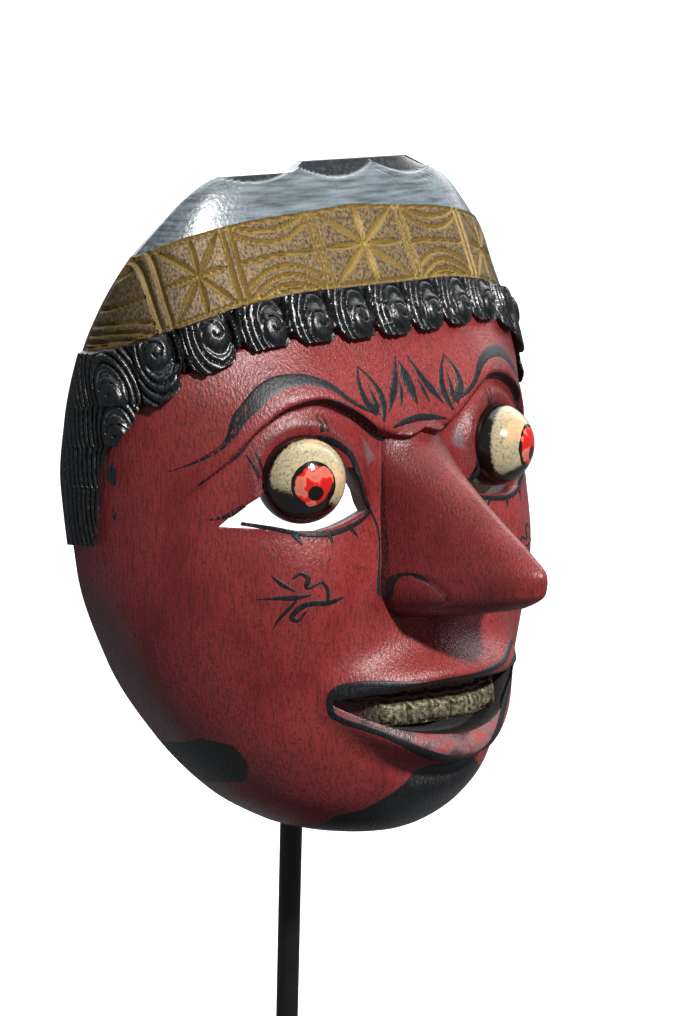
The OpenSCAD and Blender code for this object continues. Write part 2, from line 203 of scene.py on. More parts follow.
def bulge(x, z):
    """Muzzle and cheekbones, which the inside follows too."""
    return 9 * hump(x, 31) * hump(z + 57, 22) + 8 * hump(np.abs(x) - 42, 22) * hump(z + 20, 22)


def upper_lip(x):
    """Height of the upper lip's crest."""
    return -51.2 - 0.0015 * x**2


def lower_lip(x):
    """Height of the lower lip's crest."""
    return -76 + 16 * (x / 36) ** 2


def droop(x):
    """The mouth was carved lower on the mask's left."""
    return 2.6 * ease(-12, 24, x)


def from_eye(x, z):
    """Distance from the middle of the nearer eye. The two were not set quite alike."""
    return np.hypot(np.abs(x) - np.where(x < 0, RIGHT_EYE.x, EYE.x), z - EYE.z)


def carving(x, z):
    """Chin, lips, brows, eyelids and folds, on the outside only."""
    side = np.abs(x)
    mouth = np.clip(1 - (side / 40) ** 4, 0, 1)
    over = z - curve(BROW_LINE, side)
    above = ease(-0.9, 0.9, over)
    brow = (1 - ease(54, 76, side)) * (
        above * 3.3 * hump(np.maximum(over - 1, 0), 12) - (1 - above) * 0.9 * hump(over + 3.5, 4)
    )
    over_mouth = z + droop(x) - upper_lip(x)
    under_mouth = z + droop(x) - lower_lip(x) - 1.5
    lips = mouth * (
        6.5 * hump(over_mouth, np.where(over_mouth > 0, 6.5, 2.5))
        + 8 * hump(under_mouth, np.where(under_mouth > 0, 6, 3)) * (0.55 + 0.45 * hump(x, 26))
    )
    crease = 2 * hump(z + 81.5 - 0.012 * x**2, 3.2) * hump(x, 24)
    reach = from_eye(x, z)
    lid = (2.6 * hump(reach - 14.3, 3.4) + 1.6 * hump(reach - 19, 6)) * ease(-7, 4, z)
    fold = 1.4 * hump(side - 31 - 0.35 * (-30 - z), 4.5) * hump(z + 38, 15)
    root = 1.5 * hump(side - 17, 4) * hump(z - 4, 14)
    return 4 * hump(x, 20) * hump(z + 86, 9) + brow + lips + lid - crease - fold - root


def face(x, z):
    """Forward distance of the carved outside."""
    edge = np.clip(1 - (np.abs(x) / curve(HALF_WIDTH, z)) ** 4, 0, 1)
    under_ball = 1 - ease(9.5, 11.5, from_eye(x, z))
    return plain(x, z) + (bulge(x, z) + carving(x, z)) * edge - 4 * under_ball


def width_at(z, turn, grow=0):
    """x at height z, where turn goes from -90 at the rim on the mask's right to 90 on its left."""
    s = np.sin(np.radians(turn))
    return np.maximum(curve(HALF_WIDTH, z) + grow, 1) * np.sign(s) * np.abs(s) ** (2 / SQUARENESS)


# ---------------------------------------------------------------- making solids
def take(thing):
    """Makes one object the only selected and active one."""
    bpy.ops.object.select_all(action="DESELECT")
    thing.select_set(True)
    bpy.context.view_layer.objects.active = thing


def solid(name, points, faces, finishes=(), slots=None):
    """A mesh object with its faces pointing outwards."""
    mesh = bpy.data.meshes.new(name)
    mesh.from_pydata(np.asarray(points, float).tolist(), [], faces)
    for finish in finishes:
        mesh.materials.append(finish)
    if slots is not None:
        mesh.polygons.foreach_set("material_index", np.asarray(slots, np.int32))
    work = bmesh.new()
    work.from_mesh(mesh)
    bmesh.ops.recalc_face_normals(work, faces=work.faces)
    work.to_mesh(mesh)
    work.free()
    thing = bpy.data.objects.new(name, mesh)
    bpy.context.scene.collection.objects.link(thing)
    return thing


def grid(x, y, z):
    """Rows of points from coordinates that may each be a row, a column or a whole grid."""
    return np.stack(np.broadcast_arrays(x, y, z), -1)


def stack(name, rings, finishes=(), back_from=None):
    """A closed solid through rings of points. With back_from, the faces past it round each ring and
    both ends take slot 1."""
    rings = np.asarray(rings, float)
    m, n, _ = rings.shape
    j = np.arange(n)
    k = (j + 1) % n
    low = (np.arange(m - 1)[:, None] * n + j[None, :]).ravel()
    low_next = (np.arange(m - 1)[:, None] * n + k[None, :]).ravel()
    faces = np.stack([low, low_next, low_next + n, low + n], -1).tolist()
    slots = np.tile((j >= (n if back_from is None else back_from)).astype(int), m - 1).tolist()
    faces += [list(range(n))[::-1], list(range((m - 1) * n, m * n))]
    slots += [int(back_from is not None)] * 2
    return solid(name, rings.reshape(-1, 3), faces, finishes, slots)


def carve(block, cutter, how="DIFFERENCE"):
    """Cuts a block with another solid, which is used up."""
    cut = block.modifiers.new("cut", "BOOLEAN")
    cut.operation = how
    cut.solver = "MANIFOLD"
    cut.object = cutter
    take(block)
    bpy.ops.object.modifier_apply(modifier=cut.name)
    bpy.data.objects.remove(cutter)
    return block


def points_of(thing):
    """An object's points, one row each."""
    at = np.zeros(len(thing.data.vertices) * 3)
    thing.data.vertices.foreach_get("co", at)
    return at.reshape(-1, 3)


def give(thing, name, values):
    """Stores one number for each point, for a finish to read."""
    layer = thing.data.attributes.new(name, "FLOAT", "POINT")
    layer.data.foreach_set("value", np.asarray(values, np.float32))


def all_in_slot(thing, slot):
    """Puts every face of a solid in one material slot."""
    count = len(thing.data.polygons)
    thing.data.polygons.foreach_set("material_index", np.full(count, slot, np.int32))


def seat(thing, slot, *nodes, body="mask", place=MASK_SEAT, angle=None):
    """Puts a finished piece in its place, in metres, in the stead of the CAD nodes."""
    thing.data.transform(place)
    take(thing)
    if angle is None:
        bpy.ops.object.shade_smooth()
    else:
        bpy.ops.object.shade_smooth_by_angle(angle=math.radians(angle))
    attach(thing, body)
    if nodes:
        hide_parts(*nodes)
    return thing


def prism(name, outline, finish_slot=0, finishes=()):
    """A front-view outline as a solid that runs through the mask."""
    flat = np.array(outline, float)
    front = np.column_stack([flat[:, 0], np.full(len(flat), -140.0), flat[:, 1]])
    back = front + (0, 200, 0)
    thing = stack(name, [front, back], finishes)
    all_in_slot(thing, finish_slot)
    return thing


def between(low, high, step=1.4):
    """The front-view area between two lines, as a solid through the mask."""
    xs = np.arange(-88.2, 88.3, step)
    bottom = np.column_stack([xs, low(xs)])
    top = np.column_stack([xs, high(xs)])[::-1]
    return prism("area", np.concatenate([bottom, top]))


def line(points):
    """A table of a line across the front, as a function of x."""
    return lambda x: curve(points, np.abs(x))


def form(grow, tail):
    """The plain head form, grown or shrunk, with its back moved out by tail."""
    z = np.linspace(HALF_WIDTH[1][0], HALF_WIDTH[-1][0], 60)[:, None]
    turn = np.linspace(90, -90, 81)[None, :]
    x = width_at(z, turn, grow)
    high = z * (1 + grow / HALF_HEIGHT)
    front = grid(x, -plain(x, z, grow), high)
    ends = grid(x, tail - curve(RIM, high), high)
    return stack("form", np.concatenate([ends[:, :1], front, ends[:, -1:]], 1))


def hollow(finishes):
    """What is carved out of the back of the mask."""
    z = np.linspace(HALF_WIDTH[1][0], HALF_WIDTH[-1][0], 90)[:, None]
    turn = np.linspace(90, -90, 121)[None, :]
    x = width_at(z, turn, -WALL)
    inner = plain(x, z, -WALL) + bulge(x, z) * np.clip(1 - (x / 70) ** 2, 0, 1)
    high = z * (1 - WALL / HALF_HEIGHT)
    gouge = 0.35 * np.sin(x / 2.3 + 1.3 * np.sin(high / 9)) * np.sin(high / 4.1 + np.sin(x / 13))
    front = grid(x, gouge - inner, high)
    ends = grid(x, 40.0, high)
    thing = stack("hollow", np.concatenate([ends[:, :1], front, ends[:, -1:]], 1), finishes)
    all_in_slot(thing, 1)
    return thing


# ---------------------------------------------------------------- finishes
def linear(colour):
    """An sRGB hex colour as linear RGBA."""
    parts = [int(colour[i:i + 2], 16) / 255 for i in (1, 3, 5)]
    return (*(c / 12.92 if c <= 0.04045 else ((c + 0.055) / 1.055) ** 2.4 for c in parts), 1)


def put(tree, kind, inputs=None, stops=None, **settings):
    """Adds a node. An input's value is a plain value, a hex colour or another node's output. The stops
    of a colour ramp are pairs of a place and a hex colour."""
    node = tree.nodes.new("ShaderNode" + kind)
    for name, value in settings.items():
        setattr(node, name, value)
    for key, value in (inputs or {}).items():
        if isinstance(value, bpy.types.NodeSocket):
            tree.links.new(value, node.inputs[key])
        else:
            node.inputs[key].default_value = linear(value) if isinstance(value, str) else value
    for i, (place, colour) in enumerate(stops or ()):
        ends = node.color_ramp.elements
        if i == 0:
            ends.remove(ends[1])
        stop = ends[0] if i == 0 else ends.new(place)
        stop.position = place
        stop.color = linear(colour)
    return node


def finish(name, roughness, **gloss):
    """An empty finish: its nodes, its surface shader and the place on the object."""
    material = bpy.data.materials.new(name)
    material.use_nodes = True
    tree = material.node_tree
    skin = tree.nodes["Principled BSDF"]
    skin.inputs["Roughness"].default_value = roughness
    for key, value in gloss.items():
        skin.inputs[key.replace("_", " ")].default_value = value
    place = put(tree, "TexCoord").outputs["Object"]
    return material, tree, skin, place


def coat(tree, skin, colour, height=None, depth=0.0):
    """Gives the surface its colour, and relief from a pattern, depth metres deep."""
    tree.links.new(colour, skin.inputs["Base Color"])
    if height is None:
        return
    bump = put(tree, "Bump", {"Height": height, "Distance": depth, "Strength": 1.0})
    tree.links.new(bump.outputs[0], skin.inputs["Normal"])


def cloud(tree, place, size, stretch=(1, 1, 1), detail=3):
    """A soft pattern of 0 to 1 whose lumps are about size metres across, times stretch."""
    scaled = put(tree, "Mapping", {"Vector": place, "Scale": [1 / (size * s) for s in stretch]}).outputs[0]
    return put(tree, "TexNoise", {"Vector": scaled, "Scale": 1.0, "Detail": detail}).outputs[0]


def given(tree, name):
    """Reads what give() stored under a name."""
    return put(tree, "Attribute", attribute_name=name).outputs["Fac"]


def blend(tree, share, under, over):
    """One colour over another, by a share of 0 to 1."""
    return put(tree, "Mix", {0: share, 6: under, 7: over}, data_type="RGBA").outputs[2]


def rescale(tree, value, low, high, out_low=0.0, out_high=1.0):
    """Takes low to out_low and high to out_high, and stays between them."""
    return put(tree, "MapRange", {0: value, 1: low, 2: high, 3: out_low, 4: out_high}).outputs[0]


def maths(tree, operation, *values):
    """A sum with one to three values."""
    return put(tree, "Math", dict(enumerate(values)), operation=operation).outputs[0]


def ramp(tree, value, stops):
    """Turns a value into a colour by pairs of a place and a hex colour."""
    return put(tree, "ValToRGB", {0: value}, stops=stops).outputs[0]


def red_lacquer():
    """Old red lacquer on wood: brushed up and down, mottled dark in its grain, black where it was
    painted over. It is made darker towards the sides, the chin, round the eyes and under the nose,
    partly as patina and partly as painted shade, and grey along the jaw and chin rim as a painted
    reflection and at the nose root where the paint wore off."""
    material, tree, skin, place = finish("red_lacquer", 0.36, Specular_IOR_Level=0.33)
    grain = cloud(tree, place, 0.0006, (1, 1, 9), 4)
    fleck = cloud(tree, place, 0.0007, (1, 1, 1.5), 5)
    patch = cloud(tree, place, 0.016, (1, 1, 1.6), 5)
    patina_and_shade, ink, lip, wear_and_reflection = (given(tree, name) for name in ("patina_and_shade", "ink", "lip", "wear_and_reflection"))
    red = ramp(tree, patch, [(0.34, "#631b1c"), (0.5, "#7d2829"), (0.66, "#8f3230")])
    soot = rescale(tree, grain, 0.48, 0.66, 0.0, 0.6)
    dots = rescale(tree, fleck, 0.54, 0.66, 0.0, 0.75)
    dirt = maths(tree, "MAXIMUM", soot, dots)
    aged = maths(tree, "MULTIPLY_ADD", patch, 1.6, -0.8)
    # Painted shade: the stored darkening by place is added to the random tone here.
    tone_and_shade = maths(tree, "ADD", aged, patina_and_shade)
    dark = rescale(tree, tone_and_shade, 0.0, 1.0, 0.0, 0.85)
    mottled = blend(tree, dirt, red, "#3a1012")
    shaded = blend(tree, dark, mottled, "#351214")
    ragged = maths(tree, "MULTIPLY_ADD", fleck, 1.2, -0.6)
    lip_share = maths(tree, "ADD", lip, ragged)
    lip_on = rescale(tree, lip_share, 0.0, 0.5)
    smear = cloud(tree, place, 0.004, (2, 1, 1))
    pink = ramp(tree, smear, [(0.35, "#3f2a2b"), (0.52, "#6b4a4b"), (0.68, "#8a2c2a")])
    lipped = blend(tree, lip_on, shaded, pink)
    # Painted reflection and wear: grey along the jaw and chin rim as a painted reflection, and at the nose
    # root where the paint wore off.
    rubbed_and_reflecting = blend(tree, wear_and_reflection, lipped, "#50555a")
    ink_share = maths(tree, "ADD", ink, ragged)
    ink_on = rescale(tree, ink_share, 0.0, 0.35)
    black = ramp(tree, fleck, [(0.4, "#0b0c0d"), (0.7, "#17191b")])
    colour = blend(tree, ink_on, rubbed_and_reflecting, black)
    rough = rescale(tree, fleck, 0.35, 0.7, 0.28, 0.5)
    tree.links.new(rough, skin.inputs["Roughness"])
    height = maths(tree, "ADD", grain, fleck)
    coat(tree, skin, colour, height, 0.00016)
    return material


def brush_black():
    """Thin black paint put on with a brush: the red shows through where the brush ran dry."""
    material, tree, skin, place = finish("brush_black", 0.42, Specular_IOR_Level=0.25)
    streak = cloud(tree, place, 0.0006, (1, 1, 3), 4)
    dry = given(tree, "dry")
    left = maths(tree, "ADD", streak, dry)
    bare = rescale(tree, left, 0.66, 0.76)
    black = ramp(tree, streak, [(0.35, "#0a0b0d"), (0.7, "#1c1f24")])
    colour = blend(tree, bare, black, "#6b2223")
    coat(tree, skin, colour, streak, 0.00012)
    return material


def bare_wood():
    """Unpainted light wood, gouged and handled: long grain, darker in its pores."""
    material, tree, skin, place = finish("bare_wood", 0.62)
    grain = cloud(tree, place, 0.0007, (1, 1, 14), 5)
    stain = cloud(tree, place, 0.02)
    wood = ramp(tree, grain, [(0.3, "#4a321f"), (0.5, "#7a5836"), (0.7, "#93704a")])
    share = rescale(tree, stain, 0.35, 0.7, 0.1, 0.6)
    colour = blend(tree, share, wood, "#4c3826")
    coat(tree, skin, colour, grain, 0.0002)
    return material


def sooty_black():
    """The black wash inside the mouth and nostrils, matt and uneven."""
    material, tree, skin, place = finish("sooty_black", 0.6)
    wash = cloud(tree, place, 0.003, (1, 1, 1), 4)
    colour = ramp(tree, wash, [(0.35, "#050404"), (0.7, "#160b0b")])
    coat(tree, skin, colour, wash, 0.0003)
    return material


def black_hair_paint():
    """Glossy black paint on the carved locks, scuffed grey on what stands proud."""
    material, tree, skin, place = finish("black_hair_paint", 0.34, Specular_IOR_Level=0.45)
    rub = given(tree, "rub")
    fleck = cloud(tree, place, 0.0008, (1, 1, 2), 4)
    wear_and_reflection = maths(tree, "MULTIPLY", rub, fleck)
    share = rescale(tree, wear_and_reflection, 0.3, 0.6, 0.0, 0.8)
    black = ramp(tree, fleck, [(0.4, "#060708"), (0.75, "#13161a")])
    colour = blend(tree, share, black, "#4a4e54")
    rough = rescale(tree, fleck, 0.3, 0.7, 0.22, 0.42)
    tree.links.new(rough, skin.inputs["Roughness"])
    coat(tree, skin, colour, fleck, 0.00015)
    return material


def dull_gold_paint():
    """Brownish gold paint, bright along the walls of the cuts and dark at their bottom as painted shade, with
    a metal dust in it. It is made darker towards the band's sides as painted shade.
    """
    material, tree, skin, place = finish("dull_gold_paint", 0.55, Metallic=0.3, Specular_IOR_Level=0.3)
    cut = given(tree, "cut")
    side_shade = given(tree, "patina_and_shade")
    fleck = cloud(tree, place, 0.0007, (1, 1, 1.5), 4)
    base = ramp(tree, fleck, [(0.34, "#2f2618"), (0.5, "#5f4e34"), (0.68, "#7c6743")])
    edge = ramp(tree, cut, [(0.06, "#000000"), (0.3, "#cccccc")])
    gold = blend(tree, edge, base, "#9a7f3c")
    # Painted shade: the bottom of each cut is made dark.
    deep = rescale(tree, cut, 0.8, 1.0, 0.0, 0.7)
    dark = blend(tree, deep, gold, "#1c150c")
    # Painted shade: darker towards the band's sides.
    colour = blend(tree, side_shade, dark, "#241b12")
    coat(tree, skin, colour, fleck, 0.0002)
    return material


def cap_black_with_painted_sheen():
    """Glossy paint whose brushed blue-grey is a painted reflection of the sky, run over with black at the top
    edge and, as painted shade, further in towards the sides.
    """
    material, tree, skin, place = finish("cap_black_with_painted_sheen", 0.3, Coat_Weight=0.4, Coat_Roughness=0.2)
    top = given(tree, "ink")
    streak = cloud(tree, place, 0.0008, (14, 14, 1.2), 5)
    fleck = cloud(tree, place, 0.0012, (1, 1, 1), 4)
    # Painted reflection: the blue-grey stands in for the sky's reflection on the cap.
    grey = ramp(tree, streak, [(0.3, "#3a4248"), (0.5, "#59636a"), (0.7, "#6d777d")])
    ragged = maths(tree, "MULTIPLY_ADD", fleck, 2.4, -1.2)
    share = maths(tree, "ADD", top, ragged)
    on = rescale(tree, share, -0.8, 1.0)
    colour = blend(tree, on, grey, "#14171a")
    coat(tree, skin, colour, fleck, 0.00015)
    return material


def painted_eye():
    """Cream gloss paint with a red iris in a black ring, salmon patches in the iris as a painted highlight,
    the lower part made dark as painted shade, and black round the socket.
    """
    material, tree, skin, place = finish("painted_eye", 0.14)
    fleck = cloud(tree, place, 0.0007, (1, 1, 1), 4)
    swirl = cloud(tree, place, 0.0042, (1, 1, 1.3), 2)
    iris, pupil, shade_and_rim = (given(tree, name) for name in ("iris", "pupil", "shade_and_rim"))
    creamy = ramp(tree, fleck, [(0.3, "#665e49"), (0.45, "#968c6f"), (0.7, "#a89e81")])
    peach = rescale(tree, swirl, 0.5, 0.62, 0.0, 0.7)
    cream = blend(tree, peach, creamy, "#c79a72")
    dirty = maths(tree, "MULTIPLY_ADD", fleck, 1.3, -0.65)
    dark = maths(tree, "ADD", shade_and_rim, dirty)
    dark_on = rescale(tree, dark, 0.3, 0.62)
    ball = blend(tree, dark_on, cream, "#0f0b09")
    wobble = maths(tree, "MULTIPLY_ADD", swirl, 6.0, -3.0)
    reach = maths(tree, "ADD", iris, wobble)
    # Painted highlight: the salmon stops in the iris stand in for its highlight.
    red = ramp(tree, swirl, [(0.42, "#a8120e"), (0.5, "#c01c14"), (0.53, "#b9654f"), (0.64, "#a8574a")])
    in_iris = rescale(tree, reach, 31.0, 31.6, 1.0, 0.0)
    broken = maths(tree, "MULTIPLY_ADD", swirl, 26.0, 13.5)
    in_ring = maths(tree, "GREATER_THAN", reach, broken)
    disc = blend(tree, in_ring, red, "#0a0808")
    eyed = blend(tree, in_iris, ball, disc)
    dot = maths(tree, "ADD", pupil, wobble)
    in_dot = rescale(tree, dot, 9.5, 10.2, 1.0, 0.0)
    colour = blend(tree, in_dot, eyed, "#060505")
    coat(tree, skin, colour, fleck, 0.00004)
    return material


def gilt_paint():
    """Rough grey-gold paint on the teeth, dark in the hollows."""
    material, tree, skin, place = finish("gilt_paint", 0.45, Metallic=0.35)
    lump = cloud(tree, place, 0.0013, (1, 1, 1), 5)
    gilt = ramp(tree, lump, [(0.32, "#1b170f"), (0.5, "#5a5240"), (0.68, "#8a8068")])
    gum = given(tree, "gum")
    colour = blend(tree, gum, gilt, "#3a1719")
    coat(tree, skin, colour, lump, 0.0006)
    return material


def powder_black():
    """Black powder coat on steel: matt, with a fine even orange-peel."""
    material, tree, skin, place = finish("powder_black", 0.5, Specular_IOR_Level=0.3)
    peel = cloud(tree, place, 0.0006, (1, 1, 1), 2)
    colour = ramp(tree, cloud(tree, place, 0.006), [(0.3, "#070708"), (0.7, "#111113")])
    coat(tree, skin, colour, peel, 0.00005)
    return material


def zinc_plate():
    """Zinc-plated steel: grey metal with faint cloudy spangle."""
    material, tree, skin, place = finish("zinc_plate", 0.34, Metallic=1.0)
    spangle = cloud(tree, place, 0.0012, (1, 1, 1), 4)
    colour = ramp(tree, spangle, [(0.3, "#8e9194"), (0.7, "#b9bbbc")])
    rough = rescale(tree, spangle, 0.3, 0.7, 0.25, 0.42)
    tree.links.new(rough, skin.inputs["Roughness"])
    coat(tree, skin, colour, spangle, 0.00003)
    return material


def old_brass():
    """Turned brass gone brown in patches."""
    material, tree, skin, place = finish("old_brass", 0.36, Metallic=1.0)
    tarnish = cloud(tree, place, 0.0009, (1, 1, 1), 4)
    colour = ramp(tree, tarnish, [(0.35, "#6b5026"), (0.6, "#a8853f")])
    coat(tree, skin, colour, tarnish, 0.00005)
    return material


def nylon():
    """Natural nylon: milky, waxy and a little translucent."""
    material, tree, skin, place = finish("nylon", 0.42, Subsurface_Weight=0.15, Subsurface_Scale=0.002)
    haze = cloud(tree, place, 0.0015)
    colour = ramp(tree, haze, [(0.3, "#cfcabb"), (0.7, "#e4e0d3")])
    coat(tree, skin, colour, haze, 0.00003)
    return material


def wool_felt():
    """Charcoal wool felt: matt matted fibres."""
    material, tree, skin, place = finish("wool_felt", 0.95, Sheen_Weight=0.3)
    fibre = cloud(tree, place, 0.0004, (1, 1, 1), 5)
    colour = ramp(tree, fibre, [(0.3, "#17171a"), (0.7, "#3a3a3f")])
    coat(tree, skin, colour, fibre, 0.0004)
    return material


def worn_leather():
    """Vegetable-tanned strap leather, dark with use, with a fine pebble grain."""
    material, tree, skin, place = finish("worn_leather", 0.52)
    scaled = put(tree, "Mapping", {"Vector": place, "Scale": (900, 900, 900)}).outputs[0]
    pebble = put(tree, "TexVoronoi", {"Vector": scaled, "Scale": 1.0}).outputs["Distance"]
    tone = cloud(tree, place, 0.006, (1, 1, 1), 4)
    colour = ramp(tree, tone, [(0.3, "#2b170d"), (0.7, "#5a3420")])
    coat(tree, skin, colour, pebble, 0.00015)
    return material


def pale_paper():
    """The studio table: seamless pale paper with a barely seen tooth."""
    material, tree, skin, place = finish("pale_paper", 0.9)
    tooth = cloud(tree, place, 0.01)
    colour = ramp(tree, tooth, [(0.3, "#e6e8eb"), (0.7, "#eaecef")])
    coat(tree, skin, colour)
    return material


# ---------------------------------------------------------------- the mask's wood
# The nose by height: how far it stands off the face, and half its width.
NOSE = [
    (-34, 20), (-31, 36), (-27, 44), (-22, 46), (-17, 42), (-9, 32), (0, 21), (8, 11), (15, 4),
    (19, 1),
]
NOSE_WIDTH = [
    (-34, 15), (-31, 18.5), (-27, 19.5), (-22, 18.5), (-17, 17), (-9, 15.5), (0, 14), (8, 13),
    (15, 11), (19, 6),
]
# Outlines and strokes are front views of the mask's right side, (x, z) in mm. Both sides take them, but
# for the one leaf in the middle.
EYE_SLIT = [
    (-61, -0.5), (-53, 4.5), (-47, 9), (-25, 9.5), (-20, 1), (-18, -3.5), (-23, -4.8), (-30, -6.2),
    (-37, -6.8), (-45, -5.4), (-53, -3.2),
]
LIP_EDGE = [
    (-37.4, -55.4), (-36.5, -58.6), (-34.3, -60.6), (-30.1, -62.9), (-25.6, -65.3), (-20.9, -68.4),
    (-14.8, -72.4), (-8.8, -75.3), (0, -77.4),
]
LIP_INSIDE = [
    (0, -69.7), (-8.1, -67.9), (-15.6, -66.2), (-21.2, -63.5), (-25.4, -61.5), (-29.3, -59.2),
    (-33.3, -57.3), (-35.7, -53.8),
]
CHIN_BLACK = [
    (-12.1, -80.5), (-17.8, -85), (-20.8, -87.6), (-23.3, -89.9), (-27.8, -91.5), (-25, -105), (0, -105),
    (0, -79), (-7, -78.4),
]
JAW_BLACK = [(-59.2, -64.5), (-54.4, -66.4), (-50.5, -72.2), (-48.4, -78.4), (-51, -82), (-62, -72)]
ROOT_GREY = [(-18.8, 16.7), (-17.2, 15.1), (-15, 10.8), (-18.6, 8.9)]


def inside(x, z, outline):
    """How far inside a front-view outline a point lies, and below 0 outside it."""
    px, pz = np.array(outline, float).T
    qx, qz = np.roll(px, -1), np.roll(pz, -1)
    ex, ez = qx - px, qz - pz
    dx, dz = x[:, None] - px, z[:, None] - pz
    along = np.clip((dx * ex + dz * ez) / (ex**2 + ez**2), 0, 1)
    away = np.hypot(dx - along * ex, dz - along * ez).min(1)
    level = np.where(ez == 0, 1e-9, ez)
    crossed = ((pz > z[:, None]) != (qz > z[:, None])) & (dx < ex * dz / level)
    return np.where(crossed.sum(1) % 2 == 1, away, -away)


def mouth():
    """The open mouth, as a front-view outline."""
    over = [(x, -54.5 + 1.2 * math.cos(math.radians(x * 2.3)) - droop(x)) for x in range(-38, 39, 2)]
    under = [(x, -69 + 14 * (x / 38) ** 2 - droop(x)) for x in range(36, -37, -2)]
    return over + under


def nostril(side):
    """A slanted bore up through one side of the nose."""
    turn = np.radians(np.arange(0, 360, 15))
    radius, length = 3.4, 62
    ring = np.column_stack([radius * np.cos(turn), radius * np.sin(turn), 0 * turn])
    tilt = np.array(Matrix.Rotation(math.radians(-64), 3, "X"))
    foot = np.array([-9.5 * side, -96, -46])
    bore = stack("nostril", [ring @ tilt.T + foot, (ring + (0, 0, length)) @ tilt.T + foot])
    all_in_slot(bore, 2)
    return bore


def eye_slit(side):
    """The slit under an eye, which opens out inside the wood towards the nose and down."""
    x, z = np.array(EYE_SLIT, float).T
    wide_x, wide_z = x + 6 * ease(-62, -40, x), np.where(z < 0.6, z - 3, z + 1)
    rings = [(x, -140, z), (x, -57, z), (wide_x, -40, wide_z), (wide_x, 40, wide_z)]
    return stack("slit", [np.column_stack([-side * a, np.full(len(a), y), b]) for a, y, b in rings])


def make_mask_shell(red, wood, black):
    """The carved face: hollow, red outside, bare inside and black in the mouth."""
    finishes = (red, wood, black)
    carved = np.linspace(HALF_WIDTH[0][0], 52, 200)
    covered = np.linspace(54, HALF_WIDTH[-1][0], 14)
    z = np.concatenate([carved, covered])[:, None]
    turn = np.linspace(90, -90, 341)[None, :]
    x = width_at(z, turn)
    shell = stack("mask_wood", grid(x, -face(x, z), z), finishes, back_from=340)
    carve(shell, hollow(finishes))
    carve(shell, carve(between(line(HAIR_LINE), line(SKY)), form(-LAYER, 20)))
    carve(shell, prism("mouth", mouth(), 2, finishes))
    for side in (-1, 1):
        carve(shell, eye_slit(side))
        carve(shell, nostril(side))
    x, y, z = points_of(shell).T
    side = -np.abs(x)
    outside = y < -plain(x, z) + 3
    drooped = z + droop(x)
    chin, jaw = inside(side, z, CHIN_BLACK), inside(side, z, JAW_BLACK)
    black_paint = np.max((chin, jaw, inside(side, drooped, UPPER_LIP + LIP_INSIDE)), axis=0)
    give(shell, "ink", np.where(outside, np.clip(black_paint + 0.2, -1, 1), -1))
    give(shell, "lip", np.clip(inside(side, drooped, LIP_EDGE + LIP_INSIDE), -1, 1))
    # Painted reflection: the grey band along the jaw and the chin rim stands in for a reflection of the
    # gloss; the grey at the nose root is wear.
    jaw_rim_reflection = ease(0.965, 1, np.abs(x) / curve(HALF_WIDTH, z)) * ease(-5, -40, z)
    chin_rim_reflection = ease(-97, -101, z)
    root = ease(-0.6, 0.4, inside(side, z, ROOT_GREY))
    give(shell, "wear_and_reflection", np.clip(0.5 * np.maximum(jaw_rim_reflection, chin_rim_reflection) + 0.6 * root, 0, 1))
    # Painted shade: darker towards the sides and the chin, partly as patina and partly as painted shade, and
    # a darker ring round each eyeball where the lid meets it, as painted shade.
    shade = 0.12 + 0.35 * ease(35, 78, np.abs(x)) + 0.3 * ease(-45, -98, z)
    give(shell, "patina_and_shade", np.clip(shade + 0.5 * groove(from_eye(x, z) - 15, 2), 0, 1))
    seat(shell, "red_lacquered_wood", "mask_shell")


def nose_face(x, z):
    """Forward distance of the nose: flat sides, a crisp ridge, and a wing on each side of its foot."""
    share = np.clip(np.abs(x) / curve(NOSE_WIDTH, z), 0, 1)
    rise = curve(NOSE, z) * (1 - share**1.55) ** 0.78
    wing = 5.5 * hump(np.abs(x) - 17.2, 2.6) * hump(z + 27.5, 4.4)
    scroll = 2.2 * hump(np.hypot((np.abs(x) - 17) / 2.6, (z + 28) / 6.4) - 1, 0.15) * ease(-30, -28, z)
    return face(x, z) + rise + (wing - scroll) * np.clip(8 * (1 - share), 0, 1)


def make_nose(red, black):
    """The glued-on nose."""
    z = np.linspace(-34, 19, 130)[:, None]
    share = np.sin(np.radians(np.linspace(90, -90, 141)))[None, :]
    x = curve(NOSE_WIDTH, z) * share
    front = grid(x, -nose_face(x, z), z)
    back = grid(x, 0.6 - face(x, z), z)[:, ::-1]
    block = stack("nose_wood", np.concatenate([front, back], 1), (red, red, black))
    for side in (-1, 1):
        carve(block, nostril(side))
    x, y, z = points_of(block).T
    side = np.abs(x) / curve(NOSE_WIDTH, z)
    give(block, "ink", np.where((side > 0.975) & (z < 9), 0.2, -1))
    give(block, "lip", np.full(len(x), -1.0))
    give(block, "wear_and_reflection", np.zeros(len(x)))
    # Painted shade: the nose is made darker on its flat sides, and darker still on its underside as a painted
    # shadow.
    give(block, "patina_and_shade", np.clip(0.2 + 0.35 * ease(0.1, 0.5, side) + 0.5 * ease(-33, -34, z), 0, 1))
    seat(block, "red_lacquered_wood", "nose", angle=50)


